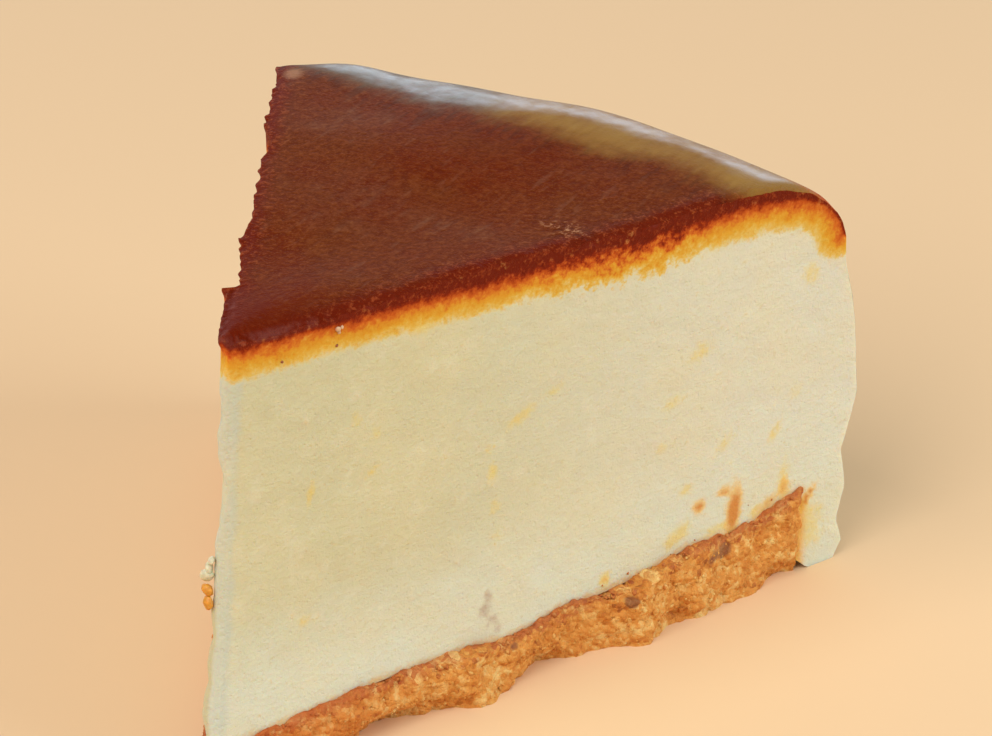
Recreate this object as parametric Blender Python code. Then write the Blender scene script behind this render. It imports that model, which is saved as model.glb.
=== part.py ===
"""A tall slice of baked cheesecake: a pale filling with a browned top, poured over a crumb base.

The slice stands on the plane z = 0. +X runs from the tip to the rim along the slice's middle line,
and the origin is under the middle of its box. Lengths are in metres. The near cut is the face on
the -Y side and the far cut the one on the +Y side.
"""

import math

import bpy
import numpy as np

MM = 0.001

# The whole cake and the slice taken out of it
CAKE_RADIUS = 102 * MM
HALF_ANGLE = math.radians(25)
BLUNT_TIP = 1.6 * MM
TIP_X = -51.2507 * MM
MIDDLE_Y = -0.1118 * MM

# The browned top, from the tip to the rounded shoulder that it ends in
TIP_HEIGHT = 63.6 * MM
RIM_FALL = 2.1 * MM
MIDDLE_DIP = 0.7 * MM
TOP_WAVE = 0.35 * MM
TOP_WAVE_LENGTH = 60 * MM
TOP_WAVE_START = 0.2
TOP_SWELL = 0.4 * MM
TOP_SWELL_SIZE = 11 * MM
SHOULDER_RUN = 33.5 * MM
SHOULDER_DROP = 19.6 * MM
SHOULDER_POWER = 3
# Swellings of the top: x and y from the cake's middle, width and height
TOP_SWELLINGS = (
    (90.5, 32.0, 6, 0.9),
    (96.3, -11.8, 7, 0.4),
    (90.4, -40.3, 6, 0.4),
)

# The outer side: heights above the foot, and how far the side stands out at each
SIDE_HEIGHTS = np.array([0, 2.5, 6, 11, 17, 25, 36, 40, 46, 50]) * MM
SIDE_STANDS_OUT = np.array([0.8, 2.1, 0.9, 1.9, 0.7, 3.1, 2.0, 1.3, -0.5, 0]) * MM
SIDE_DRIFT = 5 * MM
SIDE_DRIFT_SIZE = 12 * MM
SIDE_SWELL = 0.4 * MM
SIDE_SWELL_SIZE = 8 * MM
SIDE_SWELL_FADE = 15 * MM

# The cut faces of the filling, and how far the far one stands out along the slice
CUT_SWELL = 0.3 * MM
CUT_SWELL_SIZE = 14 * MM
TORN_SKIN = 0.5 * MM
TORN_SIZE = 3.4 * MM
TORN_DEPTH = 4.5 * MM
FAR_CUT_AT = np.array([0, 16, 18.5, 88, 98]) * MM
FAR_CUT_STANDS_OUT = np.array([0, 0, -0.5, -0.5, 0.2]) * MM
FLAP_LENGTH = 17 * MM
FLAP_END = 1.5 * MM
FLAP_OVERHANG = 0.5 * MM
TIP_LEAN = 3.9 * MM
TIP_LEAN_HEIGHT = 46 * MM
TIP_LEAN_REACH = 30 * MM

# The crumb base: its thickness along the slice and the loose look of its cut faces
SEAM_AT = np.array([0, 12, 21, 34, 40, 45, 50, 54, 66, 70, 76, 83, 87, 91, 95.5]) * MM
SEAM_HEIGHTS = np.array([7.3, 7.5, 8.0, 7.9, 7.6, 6.9, 7.2, 8.7, 8.8, 9.5, 10.5, 10.2, 10.4, 11.6, 13.0]) * MM
SEAM_SWELL = 0.5 * MM
SEAM_SWELL_SIZE = 9 * MM
SEAM_SWELL_SQUASH = 0.35
CRUMB_PROUD = 0.6 * MM
CRUMB_RELIEF = 0.9 * MM
CRUMB_SIZE = 5.2 * MM
PROUD_PLACES = ((39, 4, 1.9), (67, 5, 1.7), (77, 4, 0.8))
WORN_PLACES = ((27, 6, 3.0), (52, 4, 2.4), (93, 4, 2.2))
WORN_HEIGHT = 4 * MM
FAR_PLACES_NEARER = 8
SEAM_GAP = 0.3 * MM

# Near the tip, where the slice is narrow, the relief of its cuts is held back
FULL_RELIEF_HALF_WIDTH = 3 * MM
LEAST_RELIEF = 0.2
MOST_INWARD = 0.4

# How finely the two solids are divided
EVEN_CELLS = 42
TURN_FROM = math.radians(29)
TURN_CELLS = 7
BASE_CELLS = EVEN_CELLS + 2
ACROSS_CELLS = 12
SKIRT_LEVELS = 3
CREAM_LEVELS = 17
BASE_LEVELS = 5
LEVEL_POWER = 1.3

LATTICE = np.random.default_rng(41).random((32, 32, 32))


def ease(value, start, end):
    """0 up to start, 1 from end on, and an S curve between them."""
    t = np.clip((value - start) / (end - start), 0, 1)
    return t * t * (3 - 2 * t)


def lumps(x, y, z, size, layer):
    """Swells from -1 to 1, about that size: random heights on a cubic lattice, smoothly blended."""
    cell = np.stack(np.broadcast_arrays(x, y, z), axis=-1) / size + 7.3 * layer
    low = np.floor(cell).astype(int)
    t = ease(cell - low, 0, 1)
    total = 0
    for corner in np.ndindex(2, 2, 2):
        i, j, k = np.moveaxis((low + corner) % len(LATTICE), -1, 0)
        total = total + np.prod(np.where(corner, t, 1 - t), axis=-1) * LATTICE[i, j, k]
    return 2 * total - 1


def radial_lines():
    """Distances from the cake's middle: even steps, then steps that turn evenly down the shoulder."""
    turn = np.sin(np.linspace(TURN_FROM, math.pi / 2, TURN_CELLS + 1)) ** (2 / SHOULDER_POWER)
    shoulder = CAKE_RADIUS - SHOULDER_RUN * (1 - turn)
    return np.concatenate([np.linspace(BLUNT_TIP, shoulder[0], EVEN_CELLS + 1), shoulder[1:]])


LINES = radial_lines()
BASE_RADIUS = LINES[BASE_CELLS]


def top_height(along, angle):
    """The top falls to the rim with a shallow dip and swellings, and ends in a superellipse shoulder."""
    share = np.clip(along / CAKE_RADIUS, 0, 1)
    into = np.clip((along - CAKE_RADIUS + SHOULDER_RUN) / SHOULDER_RUN, 0, 1)
    shoulder = 1 - (1 - into**SHOULDER_POWER) ** (1 / SHOULDER_POWER)
    wave = TOP_WAVE * np.cos(math.tau * (along / TOP_WAVE_LENGTH - TOP_WAVE_START + angle)) * (1 - into)
    x, y = along * np.cos(angle), along * np.sin(angle)
    swell = TOP_SWELL * lumps(x, y, 0, TOP_SWELL_SIZE, 1)
    for middle_x, middle_y, width, rise in TOP_SWELLINGS:
        away = np.hypot(x / MM - middle_x, y / MM - middle_y)
        swell = swell + rise * MM * np.exp(-((away / width) ** 2))
    plain = TIP_HEIGHT - RIM_FALL * share - MIDDLE_DIP * np.sin(math.pi * share)
    return plain + wave + swell - SHOULDER_DROP * shoulder


def seam_height(along, angle):
    """The top of the base, which thickens unevenly to the rim and swells more towards the far cut."""
    swell = SEAM_SWELL * lumps(along, SEAM_SWELL_SQUASH * along * angle, 0, SEAM_SWELL_SIZE, 2)
    from_near = np.clip((angle / HALF_ANGLE + 1) / 2, 0, 1)
    return np.interp(along, SEAM_AT, SEAM_HEIGHTS) + swell * from_near


def side_stands_out(angle, height):
    """How far the outer side leaves the cake's circle: its profile drifts up and down round the rim."""
    from_near = np.clip(angle + HALF_ANGLE, 0, 1)
    drift = SIDE_DRIFT * from_near * lumps(CAKE_RADIUS * angle, 0, 0, SIDE_DRIFT_SIZE, 3)
    profile = np.interp(height + drift, SIDE_HEIGHTS, SIDE_STANDS_OUT)
    below = 1 - ease(height, SIDE_HEIGHTS[-1] - SIDE_SWELL_FADE, SIDE_HEIGHTS[-1])
    return profile + below * SIDE_SWELL * lumps(CAKE_RADIUS * angle, 0, height, SIDE_SWELL_SIZE, 4)


def cut_relief(along, height, side):
    """How far a cut of the filling stands out: slow swells, and torn skin along the top."""
    depth = top_height(along, side * HALF_ANGLE) - height
    skin = 1 - ease(depth, 0, TORN_DEPTH)
    relief = CUT_SWELL * lumps(along, side, height, CUT_SWELL_SIZE, 6)
    relief = relief + skin * TORN_SKIN * lumps(along, side, height, TORN_SIZE, 5)
    if side < 0:
        return relief
    flap = FLAP_OVERHANG * (1 - ease(along, FLAP_LENGTH, FLAP_LENGTH + FLAP_END))
    return relief + skin * flap + np.interp(along, FAR_CUT_AT, FAR_CUT_STANDS_OUT)


def crumb_relief(along, height, side):
    """How far a cut of the base stands out: pressed crumbs, some proud, some worn away at the foot."""
    relief = CRUMB_PROUD + CRUMB_RELIEF * lumps(along, side, height, CRUMB_SIZE, 7)
    foot = 1 - ease(height, 0, WORN_HEIGHT)
    nearer = 0 if side < 0 else FAR_PLACES_NEARER
    for middle, width, stands_out in PROUD_PLACES:
        relief += stands_out * MM * np.exp(-(((along / MM - middle + nearer) / width) ** 2))
    for middle, width, worn in WORN_PLACES:
        relief -= worn * MM * foot * np.exp(-(((along / MM - middle + nearer) / width) ** 2))
    return relief


def shell(filled):
    """Corner places (3 rows) and four-sided faces round the filled cells of a grid, all facing out.

    A face lies wherever a filled cell meets an empty one, and faces share their corners.
    """
    strides = np.array([(filled.shape[1] + 1) * (filled.shape[2] + 1), filled.shape[2] + 1, 1])
    padded = np.pad(filled, 1).astype(np.int8)
    quads = []
    for axis in range(3):
        b, c = (axis + 1) % 3, (axis + 2) % 3
        inner = [slice(None) if side == axis else slice(1, -1) for side in range(3)]
        change = np.diff(padded, axis=axis)[tuple(inner)]
        for way in (1, -1):
            number = np.argwhere(change == way) @ strides
            ring = [number, number + strides[b], number + strides[b] + strides[c], number + strides[c]]
            quads.append(np.stack(ring[::-way], axis=-1))
    numbers, faces = np.unique(np.concatenate(quads), return_inverse=True)
    places = np.stack([numbers // strides[0], numbers % strides[0] // strides[1], numbers % strides[1]])
    return places, faces.reshape(-1, 4)


def moved_out(along, share, relief):
    """Distance and angle of places that a cut's relief moves squarely out: all of it on the cuts,
    where the share is -1 or 1, and none on the middle line, where it is 0."""
    half_width = along * math.sin(HALF_ANGLE)
    room = np.clip(half_width / FULL_RELIEF_HALF_WIDTH, LEAST_RELIEF, 1)
    relief = np.maximum(relief * room, -MOST_INWARD * half_width)
    return np.hypot(along, relief * share), share * HALF_ANGLE + np.arctan2(relief * share, along)


def wedge(name, filled, height_of, stands_out_of, relief_of):
    """The shell of a block of cells, bent into the slice: lines run out from the cake's middle,
    then the cells go across the slice, and levels go up. The foot of the tip leans out."""
    (line, across, level), faces = shell(filled)
    share = 2 * across / filled.shape[1] - 1
    along = LINES[line]
    height = height_of(along, share * HALF_ANGLE, level)
    relief = np.where(share < 0, relief_of(along, height, -1), relief_of(along, height, 1))
    reach, turned = moved_out(along, share, relief)
    height = height_of(reach, turned, level)
    reach, turned = moved_out(along + stands_out_of(line, level, turned, height), share, relief)
    lean = TIP_LEAN * (1 - ease(height, 0, TIP_LEAN_HEIGHT)) * (1 - ease(along, 0, TIP_LEAN_REACH))
    corners = np.stack(
        [TIP_X + reach * np.cos(turned) - lean, MIDDLE_Y + reach * np.sin(turned), height], axis=-1
    )
    mesh = bpy.data.meshes.new(name)
    mesh.from_pydata(corners.tolist(), [], faces.tolist())
    return bpy.data.objects.new(name, mesh)


def filling():
    """The cream body: its underside follows the base, and it hangs down over the base's outer end."""

    def height_of(along, angle, level):
        seam = seam_height(along, angle) + SEAM_GAP
        raised = 1 - (1 - np.maximum(level - SKIRT_LEVELS, 0) / CREAM_LEVELS) ** LEVEL_POWER
        above = seam + (top_height(along, angle) - seam) * raised
        return np.where(level < SKIRT_LEVELS, seam * level / SKIRT_LEVELS, above)

    def stands_out_of(line, level, angle, height):
        wall = SEAM_GAP * ((line == BASE_CELLS) & (level <= SKIRT_LEVELS))
        return wall + side_stands_out(angle, height) * ease(LINES[line], BASE_RADIUS, CAKE_RADIUS)

    filled = np.ones((len(LINES) - 1, ACROSS_CELLS, SKIRT_LEVELS + CREAM_LEVELS), dtype=bool)
    filled[:BASE_CELLS, :, :SKIRT_LEVELS] = False
    return wedge("filling", filled, height_of, stands_out_of, cut_relief)


def crumb_base():
    """The biscuit layer under the filling, flat below."""

    def height_of(along, angle, level):
        return seam_height(along, angle) * level / BASE_LEVELS

    def stands_out_of(line, level, angle, height):
        return 0

    filled = np.ones((BASE_CELLS, ACROSS_CELLS, BASE_LEVELS), dtype=bool)
    return wedge("crumb_base", filled, height_of, stands_out_of, crumb_relief)


def finish(part, name, colour, roughness):
    """Gives a part its own material."""
    material = bpy.data.materials.new(name)
    material.use_nodes = True
    shader = material.node_tree.nodes["Principled BSDF"]
    shader.inputs["Base Color"].default_value = (*colour, 1)
    shader.inputs["Roughness"].default_value = roughness
    shader.inputs["Metallic"].default_value = 0
    part.data.materials.append(material)


def main():
    for obj in list(bpy.data.objects):
        bpy.data.objects.remove(obj)
    slice_parts = bpy.data.collections.new("cheesecake")
    bpy.context.scene.collection.children.link(slice_parts)
    stand = bpy.data.objects.new("cheesecake_slice", None)
    slice_parts.objects.link(stand)

    cream = filling()
    finish(cream, "baked_filling", (0.66, 0.57, 0.34), 0.5)
    biscuit = crumb_base()
    finish(biscuit, "biscuit_crumb", (0.58, 0.23, 0.06), 0.8)
    for part in (cream, biscuit):
        part.parent = stand
        slice_parts.objects.link(part)


main()
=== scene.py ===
# %% [markdown]
# # A slice of baked cheesecake
# A tall wedge of cheesecake stands on its crumb base: pale filling, a dark browned top that turns
# down over a rounded shoulder, and a layer of pressed biscuit below. This lesson dresses the solid
# model of the slice: it makes finer surfaces over the same shapes, gives them procedural finishes,
# and sets up a camera and soft light. Lengths are in millimetres until a mesh is made.

# %% The solid model
import math

import bpy
import numpy as np
from mathutils import Matrix, Vector


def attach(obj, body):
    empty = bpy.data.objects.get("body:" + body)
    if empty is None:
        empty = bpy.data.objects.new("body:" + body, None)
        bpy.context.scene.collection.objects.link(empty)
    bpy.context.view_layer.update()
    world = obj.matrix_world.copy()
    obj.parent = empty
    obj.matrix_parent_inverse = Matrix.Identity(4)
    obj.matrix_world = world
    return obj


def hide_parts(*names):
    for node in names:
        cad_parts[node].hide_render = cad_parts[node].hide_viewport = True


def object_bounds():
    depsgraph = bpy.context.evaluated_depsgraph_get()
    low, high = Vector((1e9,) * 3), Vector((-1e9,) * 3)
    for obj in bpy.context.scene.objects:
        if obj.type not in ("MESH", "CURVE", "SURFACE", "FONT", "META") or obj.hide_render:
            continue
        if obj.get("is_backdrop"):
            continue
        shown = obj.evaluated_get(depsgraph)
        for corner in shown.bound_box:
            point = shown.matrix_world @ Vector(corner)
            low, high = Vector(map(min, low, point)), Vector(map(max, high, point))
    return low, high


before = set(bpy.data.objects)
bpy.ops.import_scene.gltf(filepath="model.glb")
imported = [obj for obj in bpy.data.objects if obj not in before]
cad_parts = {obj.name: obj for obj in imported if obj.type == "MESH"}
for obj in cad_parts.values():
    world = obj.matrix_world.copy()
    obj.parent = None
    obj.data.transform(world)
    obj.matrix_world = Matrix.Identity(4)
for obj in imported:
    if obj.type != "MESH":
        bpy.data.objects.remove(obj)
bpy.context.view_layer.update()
MM = 0.001

# %% [markdown]
# ## Camera
# The slice is seen from its tip, a little to the near cut's side and from above, with a long lens
# that keeps the cut edges nearly parallel. A camera can be aimed with a constraint, but here the
# small roll matters too, so the matrix is built from three directions: right, up and backwards.

# %% Camera
CAMERA_PLACE = Vector((-471.575, -245.528, 317.4))
CAMERA_TURN = math.radians(26.38)
CAMERA_DIP = math.radians(27.78)
CAMERA_ROLL = math.radians(1.77)
LENS = 166.7

look = Vector(
    (
        math.cos(CAMERA_DIP) * math.cos(CAMERA_TURN),
        math.cos(CAMERA_DIP) * math.sin(CAMERA_TURN),
        -math.sin(CAMERA_DIP),
    )
)
level_right = look.cross(Vector((0, 0, 1))).normalized()
level_up = level_right.cross(look)
right = math.cos(CAMERA_ROLL) * level_right + math.sin(CAMERA_ROLL) * level_up
up = right.cross(look)

camera = bpy.data.objects.new("camera", bpy.data.cameras.new("camera"))
bpy.context.scene.collection.objects.link(camera)
camera.matrix_world = Matrix.Translation(CAMERA_PLACE * MM) @ Matrix((right, up, -look)).transposed().to_4x4()
camera.data.lens = LENS
camera.data.clip_start = 0.01
bpy.context.scene.camera = camera
print("camera looks along", tuple(round(v, 3) for v in look))

# %% [markdown]
# ## Shader maths in Python
# Finishes are built from nodes. Adding two nodes by hand takes several lines, so a small class
# wraps one output socket: Python's operators on it add Math nodes, and `add` makes any other node.

# %% A wire between shader nodes
class Wire:
    """One output socket of a material. + - * and / on it add Math nodes, also with plain numbers."""

    def __init__(self, tree, socket=None):
        self.tree = tree
        self.socket = socket

    def add(self, kind, settings=None, values=None, out=0):
        """A node of that kind: settings first, then each input's value or link. Returns an output."""
        node = self.tree.nodes.new(kind)
        for name, value in (settings or {}).items():
            if name == "stops":
                fill_ramp(node.color_ramp, value)
            else:
                setattr(node, name, value)
        for name, value in (values or {}).items():
            if isinstance(value, Wire):
                self.tree.links.new(value.socket, node.inputs[name])
            else:
                node.inputs[name].default_value = value
        return Wire(self.tree, node.outputs[out])

    def math(self, operation, *values):
        return self.add("ShaderNodeMath", {"operation": operation}, dict(enumerate(values)))

    def __add__(self, other):
        return self.math("ADD", self, other)

    def __sub__(self, other):
        return self.math("SUBTRACT", self, other)

    def __rsub__(self, other):
        return self.math("SUBTRACT", other, self)

    def __mul__(self, other):
        return self.math("MULTIPLY", self, other)

    def __truediv__(self, other):
        return self.math("DIVIDE", self, other)

    __radd__ = __add__
    __rmul__ = __mul__

    def clamped(self):
        return self.add("ShaderNodeClamp", {}, {"Value": self})

    def between(self, start, end):
        """0 where the value is at start, 1 at end, and smooth between: start may be above end."""
        settings = {"interpolation_type": "SMOOTHSTEP"}
        return self.add("ShaderNodeMapRange", settings, {"Value": self, "From Min": start, "From Max": end})

    def mark(self, name):
        """The value that the mesh carries under that name."""
        return self.add("ShaderNodeAttribute", {"attribute_name": name}, out="Fac")

    def place(self):
        """The point on the piece, in millimetres."""
        point = self.add("ShaderNodeTexCoord", out="Object")
        return self.add("ShaderNodeVectorMath", {"operation": "MULTIPLY"}, {0: point, 1: (1 / MM,) * 3})

    def rise(self):
        """The height above the foot of the slice, in millimetres."""
        return self.add("ShaderNodeSeparateXYZ", {}, {"Vector": self.place()}, out="Z")

    def noise(self, size, detail=2.0, rough=0.5):
        """Soft noise from about 0 to 1, with grains about that many millimetres wide."""
        values = {"Vector": self.place(), "Scale": 1 / size, "Detail": detail, "Roughness": rough}
        return self.add("ShaderNodeTexNoise", {}, values)

    def streaks(self, length, width, turn):
        """Noise drawn out along a level direction, turned that many degrees from the x axis."""
        turned = (0, 0, math.radians(-turn))
        shrunk = (1 / length, 1 / width, 1)
        values = {"Vector": self.place(), "Rotation": turned, "Scale": shrunk}
        point = self.add("ShaderNodeMapping", {"vector_type": "POINT"}, values)
        return self.add("ShaderNodeTexNoise", {}, {"Vector": point, "Scale": 1.0, "Detail": 3.0})

    def grains(self, size, out="Distance"):
        """Cells about that many millimetres wide: their distance, or their random colour."""
        return self.add("ShaderNodeTexVoronoi", {}, {"Vector": self.place(), "Scale": 1 / size}, out)

    def ramp(self, stops):
        """A colour for each value: stops are (value, colour) pairs."""
        return self.add("ShaderNodeValToRGB", {"stops": stops}, {"Fac": self})

    def blend(self, start, end):
        """The colour start where this value is 0, and end where it is 1."""
        settings = {"data_type": "RGBA", "blend_type": "MIX", "clamp_factor": True}
        return self.add("ShaderNodeMix", settings, {"Factor": self, 6: start, 7: end}, out=2)


def fill_ramp(ramp, stops):
    """Gives a ramp its stops, which are (place, colour) pairs in rising order."""
    ramp.elements[0].position, ramp.elements[0].color = stops[0]
    ramp.elements[1].position, ramp.elements[1].color = stops[-1]
    for place, colour in stops[1:-1]:
        ramp.elements.new(place).color = colour


print("a wire can:", [name for name in vars(Wire) if not name.startswith("_")])

# %% [markdown]
# ## Colours and finishes
# A colour is easiest to judge as a screen shows it, but the shader works with light, so `tone` turns
# one into the other. A finish is a material with the constants of its shader set, and `painted`
# lays tones over a colour one after another, as a decorator would with a brush.

# %% Colours and finishes
def tone(red, green, blue):
    """A colour as a screen shows it, 0 to 255, turned into the light that the shader works with."""
    steps = np.array([red, green, blue]) / 255
    light = np.where(steps <= 0.04045, steps / 12.92, ((steps + 0.055) / 1.055) ** 2.4)
    return (*map(float, light), 1.0)


def new_finish(name, settings):
    """A material, the wire to build on, its shader, and the constants set on the shader's own sockets."""
    material = bpy.data.materials.new(name)
    material.use_nodes = True
    shader = material.node_tree.nodes["Principled BSDF"]
    for socket, value in settings.items():
        shader.inputs[socket].default_value = value
    return material, Wire(material.node_tree), shader


def plug(shader, **wires):
    """Links wires to the shader's sockets, named with _ for a space."""
    for name, wire in wires.items():
        wire.tree.links.new(wire.socket, shader.inputs[name.replace("_", " ")])


def painted(colour, *coats):
    """The colour under coats of (mask, tone), each laid where its mask is 1, the last one on top."""
    for mask, laid_on in coats:
        colour = mask.blend(colour, laid_on)
    return colour


def relief_bump(wire, height):
    """The shading of a height given in millimetres."""
    return wire.add("ShaderNodeBump", {}, {"Height": height, "Distance": MM, "Strength": 1.0})


print("tone of cream:", [round(v, 2) for v in tone(218, 200, 152)])

# %% [markdown]
# ## The floor and the light
# Cake looks best in large, soft light that rakes a little over the cut. One broad lamp stands
# high on the tip's side, a weaker one fills from the near cut's side, and a long low lamp behind
# the rim gives the browned shoulder its pale, glossy band. The floor is a plain pale sheet.

# %% Floor
FLOOR_SIZE = 6000.0

bpy.ops.mesh.primitive_plane_add(size=FLOOR_SIZE * MM)
floor = bpy.context.object
floor.name = "floor"
floor_look = {"Base Color": tone(233, 195, 151), "Roughness": 0.9, "Specular IOR Level": 0.2}
floor.data.materials.append(new_finish("pale_floor", floor_look)[0])
floor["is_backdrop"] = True
print("floor, mm:", FLOOR_SIZE)

# %% Soft light
SLICE_MIDDLE = Vector((0, 0, 30))


def soft_lamp(name, place, size, power, colour):
    """A rectangular lamp at a place in millimetres, aimed at the middle of the slice."""
    data = bpy.data.lights.new(name, "AREA")
    data.shape = "RECTANGLE"
    data.size, data.size_y = (side * MM for side in size)
    data.energy = power
    data.color = colour
    lamp = bpy.data.objects.new(name, data)
    bpy.context.scene.collection.objects.link(lamp)
    lamp.location = place * MM
    lamp.rotation_euler = (SLICE_MIDDLE - place).to_track_quat("-Z", "Y").to_euler()
    lamp.visible_camera = False


behind = Vector((math.cos(CAMERA_TURN), math.sin(CAMERA_TURN), 0))
beside = Vector((math.sin(CAMERA_TURN), -math.cos(CAMERA_TURN), 0))
high = Vector((0, 0, 1))
soft_lamp("main_lamp", -520 * behind - 420 * beside + 760 * high, (800, 800), 9.0, (1.0, 0.98, 0.96))
soft_lamp("fill_lamp", -180 * behind + 780 * beside + 420 * high, (700, 700), 5.2, (0.86, 0.96, 1.0))
soft_lamp("rim_lamp", 800 * behind - 60 * beside + 90 * high, (1200, 180), 3.6, (0.72, 0.86, 1.0))

world = bpy.data.worlds.new("studio")
world.use_nodes = True
background = world.node_tree.nodes["Background"]
background.inputs["Color"].default_value = (0.88, 0.95, 1.0, 1)
background.inputs["Strength"].default_value = 0.36
bpy.context.scene.world = world
bpy.context.scene.view_settings.view_transform = "Standard"

# %% [markdown]
# ## Swells and pebbles
# Nothing on a cake is flat. Two number fields make it uneven: `lumps` blends random heights on a
# cubic lattice into slow swells, and `pebbles` gives each cell of a lattice one random round grain.
# Both work on whole arrays of points at once, and their random numbers are seeded. The layer, their
# last argument, moves to another part of the lattice, so no two uses of them look alike.

# %% Swells
LATTICE = np.random.default_rng(41).random((32, 32, 32))


def ease(value, start, end):
    """0 up to start, 1 from end on, and an S curve between them."""
    t = np.clip((value - start) / (end - start), 0, 1)
    return t * t * (3 - 2 * t)


def lumps(x, y, z, size, layer):
    """Swells from -1 to 1, about that size: random heights on a cubic lattice, smoothly blended."""
    cell = np.stack(np.broadcast_arrays(x, y, z), axis=-1) / size + 7.3 * layer
    low = np.floor(cell).astype(int)
    t = ease(cell - low, 0, 1)
    total = 0
    for corner in np.ndindex(2, 2, 2):
        i, j, k = np.moveaxis((low + corner) % len(LATTICE), -1, 0)
        total = total + np.prod(np.where(corner, t, 1 - t), axis=-1) * LATTICE[i, j, k]
    return 2 * total - 1


def swells(x, y, z, table):
    """The sum of several lumps, from rows of (height, size, layer)."""
    return sum(rise * lumps(x, y, z, size, layer) for rise, size, layer in table)


print("a swell at the middle:", round(float(lumps(0.0, 0.0, 0.0, 10.0, 1)), 2))

# %% Pebbles
PEBBLE_PLACES = np.random.default_rng(7).random((32, 32, 32, 4))


def pebbles(x, y, z, size, layer):
    """Round grains: 1 at the middle of the nearest grain, falling to 0 with the distance squared.

    Also gives each point the random number, 0 to 1, of the grain that it belongs to.
    """
    cell = np.stack(np.broadcast_arrays(x, y, z), axis=-1) / size + 5.1 * layer
    low = np.floor(cell).astype(int)
    nearest = np.full(low.shape[:-1], 9.0)
    number = np.zeros(low.shape[:-1])
    for step in np.ndindex(3, 3, 3):
        corner = low + np.array(step) - 1
        i, j, k = np.moveaxis(corner % len(PEBBLE_PLACES), -1, 0)
        grain = PEBBLE_PLACES[i, j, k]
        away = np.sum((corner + grain[..., :3] - cell) ** 2, axis=-1)
        number = np.where(away < nearest, grain[..., 3], number)
        nearest = np.minimum(away, nearest)
    return np.clip(1 - nearest, 0, 1), number


print("grain numbers:", PEBBLE_PLACES.shape)

# %% [markdown]
# ## The form of the top
# The finer surfaces have to keep the form of the solids, so these functions say the same shape. A
# place on the slice is a distance from the cake's middle, an angle from the slice's middle line, and
# a height. The top dips a little as it cools, and ends in a rounded shoulder at the rim.

# %% Top
CAKE_RADIUS = 102.0
HALF_ANGLE = math.radians(25)
BLUNT_TIP = 1.6
TIP_HEIGHT = 63.6
RIM_FALL = 2.1
MIDDLE_DIP = 0.7
TOP_WAVE = 0.35
TOP_WAVE_LENGTH = 60.0
TOP_WAVE_START = 0.2
TOP_SWELL = 0.4
TOP_SWELLINGS = ((90.5, 32.0, 6, 0.9), (96.3, -11.8, 7, 0.4), (90.4, -40.3, 6, 0.4))
SHOULDER_RUN = 33.5
SHOULDER_DROP = 19.6
SHOULDER_POWER = 3


def on_shoulder(turn):
    """The distance from the middle at which the shoulder has turned that far from flat."""
    return CAKE_RADIUS - SHOULDER_RUN * (1 - np.sin(turn) ** (2 / SHOULDER_POWER))


def plain_top(along):
    """Falls evenly to the rim, less half a sine wave for the dip, and ends in a superellipse shoulder."""
    share = np.clip(along / CAKE_RADIUS, 0, 1)
    into = np.clip((along - CAKE_RADIUS + SHOULDER_RUN) / SHOULDER_RUN, 0, 1)
    shoulder = 1 - (1 - into**SHOULDER_POWER) ** (1 / SHOULDER_POWER)
    return TIP_HEIGHT - RIM_FALL * share - MIDDLE_DIP * np.sin(math.pi * share) - SHOULDER_DROP * shoulder


def top_height(along, angle):
    """The plain top with a long wave along the slice, slow swells and three round swellings."""
    into = np.clip((along - CAKE_RADIUS + SHOULDER_RUN) / SHOULDER_RUN, 0, 1)
    wave = TOP_WAVE * np.cos(math.tau * (along / TOP_WAVE_LENGTH - TOP_WAVE_START + angle)) * (1 - into)
    x, y = along * np.cos(angle), along * np.sin(angle)
    swell = TOP_SWELL * lumps(x, y, 0, 11, 1)
    for middle_x, middle_y, width, rise in TOP_SWELLINGS:
        swell = swell + rise * np.exp(-((np.hypot(x - middle_x, y - middle_y) / width) ** 2))
    return plain_top(along) + wave + swell


print("top at the middle, mm:", round(float(top_height(50.0, 0.0)), 2))

# %% [markdown]
# ## The form of the side and the seam
# The outer side bulges unevenly, so its profile over height comes from a short table and drifts up
# and down round the rim. The seam over the base comes from a table too. It
# follows the solids' seam, and in places it lies up to half a millimetre lower, as on the real slice.

# %% Side and seam
SIDE_HEIGHTS = np.array([0, 2.5, 6, 11, 17, 25, 36, 40, 46, 50])
SIDE_STANDS_OUT = np.array([0.8, 2.1, 0.9, 1.9, 0.7, 3.1, 2.0, 1.3, -0.5, 0])
SIDE_DRIFT = 5.0
SIDE_SWELL = 0.4
SIDE_EVENS_OUT = 15.0
TURN_FROM = math.radians(29)
BASE_TURN = TURN_FROM + (math.pi / 2 - TURN_FROM) * 2 / 7
BASE_RADIUS = on_shoulder(BASE_TURN)
SEAM_AT = np.array([0, 12, 21, 34, 40, 45, 50, 54, 60, 66, 70, 76, 83, 87, 91, 95.5])
SEAM_HEIGHTS = np.array(
    [7.3, 7.5, 7.7, 7.6, 7.3, 6.8, 7.2, 8.4, 8.2, 8.5, 9.1, 10.1, 10.1, 10.4, 11.6, 13.0]
)
SEAM_SWELL = 0.5
SEAM_GAP = 0.3


def seam_height(along, angle):
    """The top of the base, which thickens unevenly to the rim and swells more towards the far cut."""
    swell = SEAM_SWELL * lumps(along, 0.35 * along * angle, 0, 9, 2)
    from_near = np.clip((angle / HALF_ANGLE + 1) / 2, 0, 1)
    return np.interp(along, SEAM_AT, SEAM_HEIGHTS) + swell * from_near


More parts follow.
